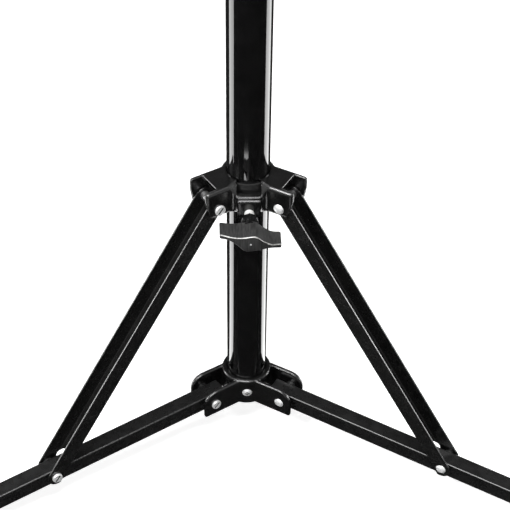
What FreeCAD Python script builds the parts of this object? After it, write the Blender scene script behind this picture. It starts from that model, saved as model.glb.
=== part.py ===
"""Crank lighting stand: a tripod base whose legs fold up with a sliding collar, a crank
gearbox that lifts the middle column by a rack, and a clamped top column with a spigot.

Millimetres, +Z up. The origin is on the column's axis at floor level, and -Y is the front,
where the clamp knobs are. The legs stand open and both moving columns are right down.
"""

import FreeCAD, Part
import os
from math import acos, cos, pi, radians, sin, sqrt, tan

# ---- Driving dimensions: column tubes
base_radius = 20.0
base_wall = 1.5
base_length = 700.0
mid_radius = 14.0
mid_wall = 1.5
top_radius = 11.0
top_wall = 1.5
untravelled = 150.0
mid_overlap = 85.0
top_overlap = 100.0
mid_stand_out = 75.0
top_stand_out = 22.0

# ---- Driving dimensions: fits
running_fit = 0.08
screw_fit = 0.05
seat_gap = 0.05
side_gap = 0.3

# ---- Driving dimensions: hub casting at the foot of the column
hub_pivot_radius = 46.8
hub_ring_radius = 25.2
hub_ring_top = 18.8
hub_ring_round = 1.8
hub_below_pivot = 11.9
hub_ear_gap = 24.6
hub_ear_thickness = 4.2
hub_ear_reach = 59.4
hub_ear_tip_drop = 2.2
hub_ear_round = 16.0
hub_ear_above = 17.0
hub_ear_root_above = 18.4
hub_ear_rim_round = 1.3
hub_screw_rise = 2.5

# ---- Driving dimensions: legs
leg_azimuths = (90.0, 210.0, 330.0)
leg_width = 16.8
leg_wall = 1.5
leg_corner = 1.2
leg_length = 520.0
leg_heel = 15.0
leg_drop = 2.2
leg_slope = 3.0
foot_wall = 2.4
foot_end = 4.0
foot_length = 34.0
foot_sole_cut = 0.6

# ---- Driving dimensions: struts
strut_joint_reach = 178.0
strut_length = 316.4
strut_width = 24.0
strut_wall = 1.5
strut_front = 9.0
strut_back = 7.4
strut_end_radius = 9.2
strut_top_radius = 8.0
strut_web_start = 17.0
strut_notch_radius = 12.0
strut_web_end = 7.0
strut_bend = 1.8

# ---- Driving dimensions: sliding collar
collar_pivot_radius = 40.2
collar_half_width = 16.6
collar_ear_gap = 25.0
collar_ear_reach = 53.4
collar_ring_radius = 25.0
collar_below_pivot = 5.9
collar_edge_top = 20.3
collar_crown_top = 21.4
collar_edge_round = 2.6
collar_corner_round = 3.4
collar_fold_round = 4.0
collar_web_round = 4.7
collar_shoulder_lean = 0.97
collar_shoulder_slope = 0.85
collar_shoulder_foot = 31.5
collar_window_side = 0.5
collar_end_height = 12.0
collar_end_lean = 4.0
collar_slot_depth = 28.5
collar_roof_under = 8.0
collar_roof_end = 34.3
collar_roof_lean = 7.1
collar_lip = 3.2
sleeve_wall = 2.4
boss_width = 20.6
boss_face = 36.0
boss_above = 10.6
boss_brim_round = 1.5
ledge_reach = 31.3
ledge_back = 24.6
ledge_rise = 0.8
ledge_gap_floor = 4.0
clamp_below_pivot = 3.0

# ---- Driving dimensions: pivot bolts and screws
pin_radius = 3.0
head_radius = 5.0
head_height = 2.2
slot_width = 1.5
slot_depth = 1.1
slot_turn = -44.0
washer_radius = 5.6
hub_screw_radius = 2.5

# ---- Driving dimensions: clamp knobs
knob_screw_radius = 3.0
knob_tail_radius = 0.8
knob_washer_radius = 4.4
knob_washer_height = 8.6
knob_neck_radius = 7.4
knob_neck_root = 9.0
knob_neck_length = 13.2
knob_rib_count = 8
knob_rib_radius = 1.1
knob_blade_depth = 23.0
knob_tip_set_back = 4.0
knob_half_span = 26.5
knob_blade_half = 8.0

# ---- Driving dimensions: crank gearbox
gear_module = 1.25
pinion_teeth = 14
tooth_backlash = 0.3
pressure_angle = radians(20.0)
tooth_addendum = 0.8 * gear_module
tooth_dedendum = 1.0 * gear_module
rack_width = 6.0
rack_tip = 17.6
pinion_width = 8.0
socket_length = 45.0
housing_radius = 25.5
chamber_height = 36.0
chamber_half_width = 20.0
chamber_back = 38.0
cavity_half_width = 10.0
neck_height = 26.0
neck_radius = 22.5
neck_bush_wall = 4.0
cover_thickness = 5.0
cover_screw_radius = 2.0
shaft_radius = 5.0
shaft_bush_wall = 2.0
bush_flange = 1.5

# ---- Driving dimensions: crank handle
arm_length = 90.0
arm_thickness = 7.0
arm_stand_off = 8.0
arm_hub_radius = 10.0
arm_tip_radius = 7.5
grip_length = 48.0
grip_radius = 12.5
grip_pin_radius = 4.0

# ---- Driving dimensions: middle collar and spigot
mid_collar_radius = 19.5
mid_collar_height = 38.0
mid_collar_cap = 8.0
mid_clamp_drop = 18.0
mid_boss_face = 28.0
guide_length = 22.0
spigot_radius = 8.0
spigot_length = 34.0
spigot_groove = 1.2
spigot_flange_radius = 14.0
spigot_flange_height = 6.0
stud_radius = 4.75
stud_length = 9.0
stud_tail_radius = 4.3

# ---- Places worked out from the driving dimensions
mid_travel = base_length - untravelled
top_travel = mid_travel
slope = radians(leg_slope)
foot_half = leg_width / 2 + foot_wall
hub_z = (leg_length + foot_end) * sin(slope) + (foot_half + leg_drop) * cos(slope) - foot_sole_cut
joint_radius = hub_pivot_radius + strut_joint_reach * cos(slope)
joint_z = hub_z - strut_joint_reach * sin(slope)
strut_run = joint_radius - collar_pivot_radius
strut_rise = sqrt(strut_length ** 2 - strut_run ** 2)
collar_z = joint_z + strut_rise
clamp_z = collar_z - clamp_below_pivot
column_bottom = hub_z - hub_below_pivot
column_top = column_bottom + base_length
pitch_radius = gear_module * pinion_teeth / 2
tooth_pitch = pi * gear_module
pinion_y = rack_tip - tooth_addendum + pitch_radius
pinion_z = column_top + chamber_height / 2
neck_top = column_top + chamber_height + neck_height
lock_z = column_top + chamber_height + neck_height / 2
mid_top = neck_top + mid_stand_out
rack_margin = 3.5 * tooth_pitch
mid_bottom = pinion_z - rack_margin - mid_travel - mid_overlap
mid_clamp_z = mid_top - mid_clamp_drop
top_top = mid_top + mid_collar_cap + top_stand_out
top_bottom = mid_top - top_travel - top_overlap
pin_hole = pin_radius + screw_fit
hub_screw_seat = hub_ring_radius - 0.6


def vec(x, y, z):
    return FreeCAD.Vector(x, y, z)


X_AXIS = vec(1, 0, 0)
Y_AXIS = vec(0, 1, 0)
Z_AXIS = vec(0, 0, 1)
ORIGIN = vec(0, 0, 0)


def block(x0, x1, y0, y1, z0, z1):
    return Part.makeBox(x1 - x0, y1 - y0, z1 - z0, vec(x0, y0, z0))


def rod(radius, start, end):
    along = end.sub(start)
    return Part.makeCylinder(radius, along.Length, start, along)


def post(radius, z0, z1):
    return rod(radius, vec(0, 0, z0), vec(0, 0, z1))


def pipe(outer, inner, z0, z1):
    return post(outer, z0, z1).cut(post(inner, z0 - 1, z1 + 1))


def prism(points, along):
    """A flat outline, extruded by the vector along."""
    return Part.Face(Part.makePolygon(points + points[:1])).extrude(along)


def turned(profile):
    """A profile of (radius, height) points, turned about +Z."""
    outline = Part.makePolygon([vec(r, 0, z) for r, z in profile + profile[:1]])
    return Part.Face(outline).revolve(ORIGIN, Z_AXIS, 360)


def about(shape, axis, degrees, centre=ORIGIN):
    moved = shape.copy()
    moved.rotate(centre, axis, degrees)
    return moved


def shifted(shape, x, y, z):
    moved = shape.copy()
    moved.translate(vec(x, y, z))
    return moved


def lengthways(edge, axis):
    """True for a straight edge that runs along an axis."""
    if not isinstance(edge.Curve, Part.Line):
        return False
    return abs(abs(edge.tangentAt(edge.FirstParameter).dot(axis)) - 1) < 1e-6


def save(name, *solids):
    shape = solids[0] if len(solids) == 1 else Part.Compound(list(solids))
    shape.exportStep(f"parts/{name}.step")


# ---- Fasteners, each made along +Y with its seat on the plane y = 0
def domed_head(radius, height):
    """A low round head that rises from y = 0 to y = height."""
    ball = (radius ** 2 + height ** 2) / (2 * height)
    head = Part.makeSphere(ball, vec(0, height - ball, 0))
    return head.common(rod(radius, ORIGIN, vec(0, height, 0)))


def slotted_head(radius, height):
    head = rod(radius, ORIGIN, vec(0, height, 0))
    rims = [e for e in head.Edges if abs(e.CenterOfMass.y - height) < 0.01]
    head = head.makeFillet(height / 3, rims)
    reach = radius * 0.72
    slot = block(-slot_width / 2, slot_width / 2, height - slot_depth, height + 1, -reach, reach)
    return head.cut(slot)


def cross_head(radius, height):
    """A low round head with a cross recess."""
    head = domed_head(radius, height)
    reach = radius * 0.5
    half = slot_width / 2
    recess = block(-half, half, height - slot_depth, height + 1, -reach, reach)
    recess = recess.fuse(block(-reach, reach, height - slot_depth, height + 1, -half, half))
    return head.cut(recess)


# ---- A leg's own frame has x outwards, y across, z up; it is turned to each azimuth
def to_azimuth(shape, azimuth):
    return about(shape, Z_AXIS, azimuth)


def on_leg(shape):
    """From the leg's frame, with its pivot at the origin, to the open leg at azimuth 0."""
    return shifted(about(shape, Y_AXIS, leg_slope), hub_pivot_radius, 0, hub_z)


def on_strut(shape):
    """From the strut's frame (x along it, z outwards, lower pivot at the origin)."""
    lean = 180.0 - acos(strut_run / strut_length) * 180.0 / pi
    flipped = about(shape, X_AXIS, 180)
    return shifted(about(flipped, Y_AXIS, -lean), joint_radius, 0, joint_z)


def pivot_pair(half_gap, half_outside, middle):
    """A domed bolt on the -Y side and a slotted nut on the +Y side of a pivot at middle.

    Each has a shank from its outer face in to half_gap from the middle plane.
    """
    bolt = about(domed_head(head_radius, head_height), Z_AXIS, 180)
    bolt = shifted(bolt, 0, -half_outside, 0)
    bolt = bolt.fuse(rod(pin_radius, vec(0, -half_outside, 0), vec(0, -half_gap, 0)))
    nut = about(slotted_head(head_radius, head_height), Y_AXIS, slot_turn)
    nut = shifted(nut, 0, half_outside, 0)
    nut = nut.fuse(rod(pin_radius, vec(0, half_gap, 0), vec(0, half_outside, 0)))
    return [shifted(s, middle.x, middle.y, middle.z) for s in (bolt, nut)]


# ---- Base column and its end cap
def base_column():
    column = pipe(base_radius, base_radius - base_wall, column_bottom, column_top)
    for azimuth in hub_screw_azimuths():
        hole = rod(hub_screw_radius + screw_fit, ORIGIN, vec(base_radius + 1, 0, 0))
        column = column.cut(to_azimuth(shifted(hole, 0, 0, hub_z + hub_screw_rise), azimuth))
    for azimuth in housing_screw_azimuths:
        hole = rod(hub_screw_radius + screw_fit, ORIGIN, vec(base_radius + 1, 0, 0))
        column = column.cut(to_azimuth(shifted(hole, 0, 0, housing_screw_z), azimuth))
    return column


def column_end_cap():
    bore = base_radius - base_wall - seat_gap
    return turned([
        (0, column_bottom - 2.0),
        (bore + 0.8, column_bottom - 2.0),
        (bore + 0.8, column_bottom),
        (bore, column_bottom),
        (bore, column_bottom + 9.0),
        (bore - 2.0, column_bottom + 9.0),
        (bore - 2.0, column_bottom + 1.5),
        (0, column_bottom + 1.5),
    ])


def hub_screw_azimuths():
    return [azimuth + 60.0 for azimuth in leg_azimuths]


housing_screw_azimuths = (150.0, 30.0)
housing_screw_z = column_top - socket_length / 2


def radial_screws(azimuths, z, seat_radius, tip_radius):
    """Cross-head screws that point at the column's axis."""
    screws = []
    for azimuth in azimuths:
        screw = shifted(cross_head(head_radius, head_height), 0, seat_radius, 0)
        screw = screw.fuse(rod(hub_screw_radius, vec(0, tip_radius, 0), vec(0, seat_radius, 0)))
        screws.append(to_azimuth(shifted(screw, 0, 0, z), azimuth - 90))
    return screws


# ---- Hub casting
def hub_ear_outline():
    """An ear's side view: straight underneath, with one large round at its top outer corner."""
    root = -hub_below_pivot
    low = root - hub_ear_tip_drop
    corner = 2.0
    arc_x = hub_ear_reach - hub_ear_round
    arc_z = hub_ear_above - hub_ear_round
    bend = sin(radians(45))
    edges = [
        Part.makeLine(vec(0, 0, root), vec(hub_ear_reach - corner, 0, low)),
        Part.Arc(
            vec(hub_ear_reach - corner, 0, low),
            vec(hub_ear_reach - corner + corner * bend, 0, low + corner - corner * bend),
            vec(hub_ear_reach, 0, low + corner),
        ).toShape(),
        Part.makeLine(vec(hub_ear_reach, 0, low + corner), vec(hub_ear_reach, 0, arc_z)),
        Part.Arc(
            vec(hub_ear_reach, 0, arc_z),
            vec(arc_x + hub_ear_round * bend, 0, arc_z + hub_ear_round * bend),
            vec(arc_x, 0, hub_ear_above),
        ).toShape(),
        Part.makeLine(vec(arc_x, 0, hub_ear_above), vec(0, 0, hub_ear_root_above)),
        Part.makeLine(vec(0, 0, hub_ear_root_above), vec(0, 0, root)),
    ]
    return Part.Face(Part.Wire(edges))


def hub_ear(side):
    inner = hub_ear_gap / 2
    ear = shifted(hub_ear_outline().extrude(vec(0, hub_ear_thickness, 0)), 0, inner, 0)
    rims = [e for e in ear.Edges if not lengthways(e, Y_AXIS) and e.CenterOfMass.x > 1]
    ear = ear.makeFillet(hub_ear_rim_round, rims)
    if side < 0:
        ear = ear.mirror(ORIGIN, Y_AXIS)
    return ear


def base_hub():
    hub = post(hub_ring_radius, -hub_below_pivot, hub_ring_top)
    hub = hub.makeFillet(hub_ring_round, [e for e in hub.Edges if e.CenterOfMass.z > hub_ring_top - 1])
    for azimuth in leg_azimuths:
        for side in (1, -1):
            hub = hub.fuse(to_azimuth(hub_ear(side), azimuth))
    high = hub_ring_top + 5
    hub = hub.cut(post(base_radius + seat_gap, -hub_below_pivot - 4, high))
    for azimuth in leg_azimuths:
        slot = block(hub_ring_radius, hub_ear_reach, -hub_ear_gap / 2, hub_ear_gap / 2,
                     -hub_below_pivot - 4, high)
        bore = rod(pin_hole, vec(hub_pivot_radius, -base_radius, 0), vec(hub_pivot_radius, base_radius, 0))
        hub = hub.cut(to_azimuth(slot.fuse(bore), azimuth))
    for azimuth in hub_screw_azimuths():
        hole = rod(hub_screw_radius + screw_fit, ORIGIN, vec(hub_ring_radius + 5, 0, 0))
        flat = rod(head_radius + 0.4, vec(hub_screw_seat, 0, 0), vec(hub_ring_radius + 4, 0, 0))
        hub = hub.cut(to_azimuth(shifted(hole.fuse(flat), 0, 0, hub_screw_rise), azimuth))
    return shifted(hub, 0, 0, hub_z)


# ---- Legs, feet and struts, each made once at azimuth 0
def leg_tube():
    """A square tube that hangs a little below the line of its two pivots."""
    half = leg_width / 2
    outside = block(-leg_heel, leg_length, -half, half, -half, half)
    outside = outside.makeFillet(leg_corner, [e for e in outside.Edges if lengthways(e, X_AXIS)])
    inner = half - leg_wall
    leg = outside.cut(block(-leg_heel - 1, leg_length + 1, -inner, inner, -inner, inner))
    leg = shifted(leg, 0, 0, -leg_drop)
    for reach in (0, strut_joint_reach):
        leg = leg.cut(rod(pin_hole, vec(reach, -half - 1, 0), vec(reach, half + 1, 0)))
    return on_leg(leg)


def leg_foot():
    inner = leg_width / 2 + seat_gap
    start = leg_length + foot_end - foot_length
    end = leg_length + foot_end
    foot = block(start, end, -foot_half, foot_half, -foot_half, foot_half)
    foot = foot.makeFillet(2.0, foot.Edges)
    foot = foot.cut(block(start - 1, leg_length + seat_gap, -inner, inner, -inner, inner))
    foot = on_leg(shifted(foot, 0, 0, -leg_drop))
    return foot.cut(block(0, 2 * leg_length, -leg_width * 2, leg_width * 2, -leg_width, 0))


def pin_rings(radius, inner, outer, reach):
    """A pair of rings on a leg's pin, one each side of the leg, from inner to outer."""
    rings = []
    for side in (1, -1):
        ring = rod(radius, vec(reach, side * inner, 0), vec(reach, side * outer, 0))
        bore = rod(pin_hole, vec(reach, -outer - 1, 0), vec(reach, outer + 1, 0))
        rings.append(on_leg(ring.cut(bore)))
    return rings


def strut_channel():
    """A channel that opens outwards, its web on the column's side and cut back at both ends."""
    half = strut_width / 2
    inner = half - strut_wall
    low = -strut_back
    side = block(0, strut_length, -half, half, low, strut_front)
    side = side.makeFillet(strut_bend, [e for e in side.Edges
                                        if lengthways(e, X_AXIS) and e.CenterOfMass.z < 0])
    ends = rod(strut_end_radius, vec(0, -half, 0), vec(0, half, 0))
    ends = ends.fuse(rod(strut_top_radius, vec(strut_length, -half, 0), vec(strut_length, half, 0)))
    reach = strut_end_radius + 1
    ends = ends.common(block(-reach, strut_length + reach, -half, half, low, strut_front))
    body = side.fuse(ends).removeSplitter()
    past = strut_length + strut_end_radius + 1
    floor = low + strut_wall
    body = body.cut(block(-reach, past, -inner, inner, floor, strut_front + 1))
    body = body.cut(block(-reach, strut_web_start, -inner, inner, low - 1, strut_front))
    body = body.cut(block(strut_length - strut_web_end, past, -inner, inner, low - 1, strut_front))
    notch_x = strut_web_start - sqrt(strut_notch_radius ** 2 - inner ** 2)
    body = body.cut(rod(strut_notch_radius, vec(notch_x, 0, low - 1), vec(notch_x, 0, floor + 1)))
    bore = pin_radius + running_fit
    body = body.cut(rod(bore, vec(0, -half - 1, 0), vec(0, half + 1, 0)))
    seat = strut_bush_radius() + seat_gap
    body = body.cut(rod(seat, vec(strut_length, -half - 1, 0), vec(strut_length, half + 1, 0)))
    return on_strut(body)


def strut_bush_radius():
    return pin_radius + 1.4


def strut_bush():
    half = collar_ear_gap / 2 - side_gap
    bush = rod(strut_bush_radius(), vec(0, -half, 0), vec(0, half, 0))
    bush = bush.cut(rod(pin_radius + running_fit, vec(0, -half - 1, 0), vec(0, half + 1, 0)))
    return on_strut(shifted(bush, strut_length, 0, 0))


# ---- Sliding collar
def collar_lobe():
    """One clevis arm before its slot is cut, at azimuth 0."""
    arm = block(0, collar_ear_reach, -collar_half_width, collar_half_width,
                -collar_below_pivot, collar_crown_top + 5)
    corners = [e for e in arm.Edges if lengthways(e, Z_AXIS) and e.CenterOfMass.x > 1]
    arm = arm.makeFillet(collar_corner_round, corners)
    low = -collar_below_pivot - 1
    far = collar_ear_reach + 1
    slant = [
        vec(far, -far, collar_end_height),
        vec(collar_ear_reach, -far, collar_end_height),
        vec(collar_ear_reach - collar_end_lean, -far, low),
        vec(far, -far, low),
    ]
    return arm.cut(prism(slant, vec(0, 2 * far, 0)))


def collar_shoulder(side):
    """What is cut away above the slope that runs from a front arm down to the boss."""
    start = boss_width / 2 + collar_window_side
    far = collar_ear_reach
    deep = collar_shoulder_foot + 8
    rise = collar_shoulder_slope
    lean = collar_shoulder_lean * (far - start)
    corners = []
    for x, lift in ((start, 0), (far, lean)):
        foot = vec(side * x, -deep, boss_above + lift - rise * (deep - collar_shoulder_foot))
        head = vec(side * x, 0, boss_above + lift + rise * collar_shoulder_foot)
        corners.append((foot, head, vec(side * x, 0, 4 * boss_face), vec(side * x, -deep, 4 * boss_face)))
    near, away = [Part.makePolygon(list(points) + [points[0]]) for points in corners]
    return Part.makeLoft([near, away], True, True)


def collar_crown(low):
    """A shallow ball that tops the casting, higher at the column than at the arms' ends."""
    drop = collar_crown_top - collar_edge_top
    spread = collar_ear_reach ** 2 - base_radius ** 2
    middle = (collar_crown_top + collar_edge_top) / 2 - spread / (2 * drop)
    ball = Part.makeSphere(sqrt(base_radius ** 2 + (collar_crown_top - middle) ** 2), vec(0, 0, middle))
    far = collar_ear_reach + 10
    return ball.common(block(-far, far, -far, far, low, collar_crown_top + 5))


def collar_slot():
    half = collar_ear_gap / 2
    low = -collar_below_pivot - 1
    high = collar_crown_top + 6
    far = collar_ear_reach + 5
    lean = collar_roof_lean * (high - collar_roof_under) / (collar_crown_top - collar_roof_under)
    outline = [
        vec(collar_slot_depth, -half, low),
        vec(far, -half, low),
        vec(far, -half, high),
        vec(collar_roof_end + lean, -half, high),
        vec(collar_roof_end, -half, collar_roof_under),
        vec(collar_slot_depth, -half, collar_roof_under),
    ]
    return prism(outline, vec(0, collar_ear_gap, 0))


def collar_window():
    """The opening above the boss, down to a low ledge, and a gap between the ledge and the sleeve."""
    half = boss_width / 2 + collar_window_side
    high = collar_crown_top + 10
    front = block(-half, half, -boss_face - 5, -ledge_reach, boss_above, high)
    gap = post(ledge_back, ledge_gap_floor, high).common(block(-half, half, -ledge_back, 0, 0, high))
    return front.fuse(block(-half, half, -ledge_reach, 0, boss_above + ledge_rise, high)).fuse(gap)


def spider_collar():
    low = -collar_below_pivot
    high = collar_crown_top + 5
    half = boss_width / 2
    walls = post(collar_ring_radius, low, high)
    for azimuth in leg_azimuths:
        walls = walls.fuse(to_azimuth(collar_lobe(), azimuth))
    walls = walls.fuse(block(-half, half, -boss_face, 0, low, high)).removeSplitter()
    folds = [e for e in walls.Edges if lengthways(e, Z_AXIS)
             and vec(e.CenterOfMass.x, e.CenterOfMass.y, 0).Length < collar_ring_radius + 0.1]
    walls = walls.makeFillet(collar_fold_round, folds)
    webs = [e for e in walls.Edges if lengthways(e, Z_AXIS) and abs(abs(e.CenterOfMass.x) - half) < 0.01
            and e.CenterOfMass.y > -boss_face + 1]
    walls = walls.makeFillet(collar_web_round, webs)
    body = walls.common(collar_crown(low))
    rims = []
    for edge in body.Edges:
        middle = edge.valueAt((edge.FirstParameter + edge.LastParameter) / 2)
        level = edge.BoundBox.XLength + edge.BoundBox.YLength > 0.02
        inside = walls.isInside(vec(middle.x, middle.y, 0), 0.01, False)
        if level and middle.z > collar_end_height + 1 and not inside:
            rims.append(edge)
    body = body.makeFillet(collar_edge_round, rims)
    for side in (1, -1):
        body = body.cut(collar_shoulder(side))
    body = body.cut(collar_window())
    brims = [e for e in body.Edges if e.BoundBox.YMax < -boss_face + 0.1 and abs(e.CenterOfMass.x) < 1
             and e.BoundBox.ZMin > boss_above - 0.1]
    body = body.makeFillet(boss_brim_round, brims)
    body = body.cut(post(base_radius + sleeve_wall + seat_gap, low - 1, collar_crown_top - collar_lip))
    body = body.cut(post(base_radius + side_gap, low, high))
    for azimuth in leg_azimuths:
        bore = rod(pin_hole, vec(collar_pivot_radius, -collar_half_width - 1, 0),
                   vec(collar_pivot_radius, collar_half_width + 1, 0))
        body = body.cut(to_azimuth(collar_slot().fuse(bore), azimuth))
    thread = rod(knob_screw_radius + screw_fit, vec(0, -boss_face - 1, -clamp_below_pivot),
                 vec(0, -base_radius, -clamp_below_pivot))
    return shifted(body.cut(thread), 0, 0, collar_z)


def spider_sleeve():
    """The plastic liner between the casting and the column, with a flat pressed by the screw."""
    low = collar_z - collar_below_pivot
    high = collar_z + collar_crown_top - collar_lip - seat_gap
    return pipe(base_radius + sleeve_wall, base_radius + running_fit, low, high)


# ---- Clamp knob, made along -Y with the boss's face on the plane y = 0
def blade_outline(y):
    """The blade's S-shaped outline: one curve for each side, and rounded tips."""
    span = knob_half_span
    rise = knob_blade_half
    upper = [(-span, rise), (-0.58 * span, 0.8 * rise), (-0.2 * span, 0.92 * rise),
             (0.17 * span, rise), (0.42 * span, 0.28 * rise), (0.7 * span, -0.3 * rise),
             (span, -0.4 * rise)]
    lower = [(-x, -z) for x, z in upper]
    top = Part.BSplineCurve()
    top.interpolate([vec(x, y, z) for x, z in upper])
    bottom = Part.BSplineCurve()
    bottom.interpolate([vec(x, y, z) for x, z in lower])
    edges = []
    edges.append(top.toShape())
    edges.append(Part.Arc(vec(span, y, -0.4 * rise), vec(span + 1.1, y, -0.7 * rise),
                          vec(span, y, -rise)).toShape())
    edges.append(bottom.toShape())
    edges.append(Part.Arc(vec(-span, y, 0.4 * rise), vec(-span - 1.1, y, 0.7 * rise),
                          vec(-span, y, rise)).toShape())
    return Part.Face(Part.Wire(edges))


def knob_body():
    start = knob_washer_height + 0.2
    neck_end = start + knob_neck_length
    front = neck_end + knob_blade_depth
    neck = turned([
        (0, start),
        (knob_neck_radius - 0.6, start),
        (knob_neck_radius, start + 0.8),
        (knob_neck_root, neck_end),
        (knob_neck_root, neck_end + 4),
        (0, neck_end + 4),
    ])
    neck = about(neck, X_AXIS, 90)
    for index in range(knob_rib_count):
        rib = rod(knob_rib_radius, vec(knob_neck_radius - 0.2, -start - 1.5, 0),
                  vec(knob_neck_root - 0.4, -neck_end - 2, 0))
        neck = neck.fuse(about(rib, Y_AXIS, index * 360 / knob_rib_count))
    blade = blade_outline(-front).extrude(vec(0, knob_blade_depth, 0))
    span = knob_half_span + 3
    side = [
        vec(-span, -neck_end, -20),
        vec(-span, -front + knob_tip_set_back + 1, -20),
        vec(-0.55 * span, -front + 0.7 * knob_tip_set_back, -20),
        vec(-0.28 * span, -front, -20),
        vec(0.28 * span, -front, -20),
        vec(0.55 * span, -front + 0.7 * knob_tip_set_back, -20),
        vec(span, -front + knob_tip_set_back + 1, -20),
        vec(span, -neck_end, -20),
    ]
    blade = blade.common(prism(side, vec(0, 0, 40)))
    rims = [e for e in blade.Edges if not lengthways(e, Y_AXIS)]
    blade = blade.makeFillet(1.0, rims)
    knob = neck.fuse(blade)
    knob = knob.cut(rod(knob_screw_radius - 0.2, ORIGIN, vec(0, -front + 6, 0)))
    return knob.cut(rod(knob_tail_radius, ORIGIN, vec(0, -front - 1, 0)))


def knob_screw(tip):
    """The clamp screw, from its tip inside the boss to a tail that shows in the blade's face."""
    front = knob_washer_height + 0.2 + knob_neck_length + knob_blade_depth
    screw = rod(knob_screw_radius, vec(0, tip, 0), vec(0, -0.3, 0))
    screw = screw.fuse(rod(knob_screw_radius - 0.25, vec(0, -0.3, 0), vec(0, -front + 6.2, 0)))
    return screw.fuse(rod(knob_tail_radius - 0.05, vec(0, -front + 6.2, 0), vec(0, -front - 0.2, 0)))


def knob_washer():
    ring = rod(knob_washer_radius, vec(0, -0.1, 0), vec(0, -0.1 - knob_washer_height, 0))
    return ring.cut(rod(knob_screw_radius, vec(0, 1, 0), vec(0, -knob_washer_height - 1, 0)))


def save_knob(name, face, z, tip_radius):
    """One clamp knob with its screw and washer, on a boss whose face is at y = -face."""
    save(f"{name}_knob", shifted(knob_body(), 0, -face, z))
    save(f"{name}_knob_screw", shifted(knob_screw(face - tip_radius), 0, -face, z))
    save(f"{name}_knob_washer", shifted(knob_washer(), 0, -face, z))


# ---- Rack and pinion
def involute(angle):
    return tan(angle) - angle


def drive_pinion():
    base_circle = pitch_radius * cos(pressure_angle)
    tip = pitch_radius + tooth_addendum
    root = pitch_radius - tooth_dedendum
    half_pitch = pi / (2 * pinion_teeth) - tooth_backlash / (4 * pitch_radius)
    steps = 4
    radii = [base_circle + (tip - base_circle) * i / steps for i in range(steps + 1)]
    flank = [(root, half_pitch + involute(pressure_angle))]
    for radius in radii:
        flank.append((radius, half_pitch + involute(pressure_angle) - involute(acos(base_circle / radius))))
    points = []
    for tooth in range(pinion_teeth):
        middle = -pi / 2 + tooth * 2 * pi / pinion_teeth
        for radius, half in [(r, -h) for r, h in flank] + list(reversed(flank)):
            angle = middle + half
            points.append(vec(-pinion_width / 2, radius * sin(angle), radius * cos(angle)))
    gear = prism(points, vec(pinion_width, 0, 0))
    gear = gear.cut(rod(shaft_radius + 0.02, vec(-pinion_width, 0, 0), vec(pinion_width, 0, 0)))
    return shifted(gear, 0, pinion_y, pinion_z)


def column_rack():
    """A toothed bar on the back of the middle column, with a gap level with the pinion."""
    pitch_y = rack_tip - tooth_addendum
    root_y = pitch_y - tooth_dedendum
    low = pinion_z - mid_travel - rack_margin
    high = pinion_z + rack_margin
    spread = tan(pressure_angle)
    half = tooth_pitch / 4 - tooth_backlash / 4
    count = int((high - low) / tooth_pitch)
    points = [vec(-rack_width / 2, mid_radius - 1.5, low), vec(-rack_width / 2, root_y, low)]
    for index in range(count):
        middle = pinion_z + (index - count + 4) * tooth_pitch - tooth_pitch / 2
        foot_half_width = half + tooth_dedendum * spread
        tip_half_width = half - tooth_addendum * spread
        if middle - foot_half_width < low or middle + foot_half_width > high:
            continue
        points.append(vec(-rack_width / 2, root_y, middle - foot_half_width))
        points.append(vec(-rack_width / 2, rack_tip, middle - tip_half_width))
        points.append(vec(-rack_width / 2, rack_tip, middle + tip_half_width))
        points.append(vec(-rack_width / 2, root_y, middle + foot_half_width))
    points.append(vec(-rack_width / 2, root_y, high))
    points.append(vec(-rack_width / 2, mid_radius - 1.5, high))
    rack = prism(points, vec(rack_width, 0, 0))
    return rack.cut(post(mid_radius + 0.02, low - 1, high + 1))


# ---- Gearbox
def rack_slot(z0, z1):
    return block(-rack_width / 2 - side_gap, rack_width / 2 + side_gap, 0, rack_tip + side_gap, z0, z1)


def cover_screw_places():
    across = chamber_half_width - 4.5
    up = chamber_height / 2 - 5.0
    return [(x, pinion_z + z) for x in (-across, across) for z in (-up, up)]


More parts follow.
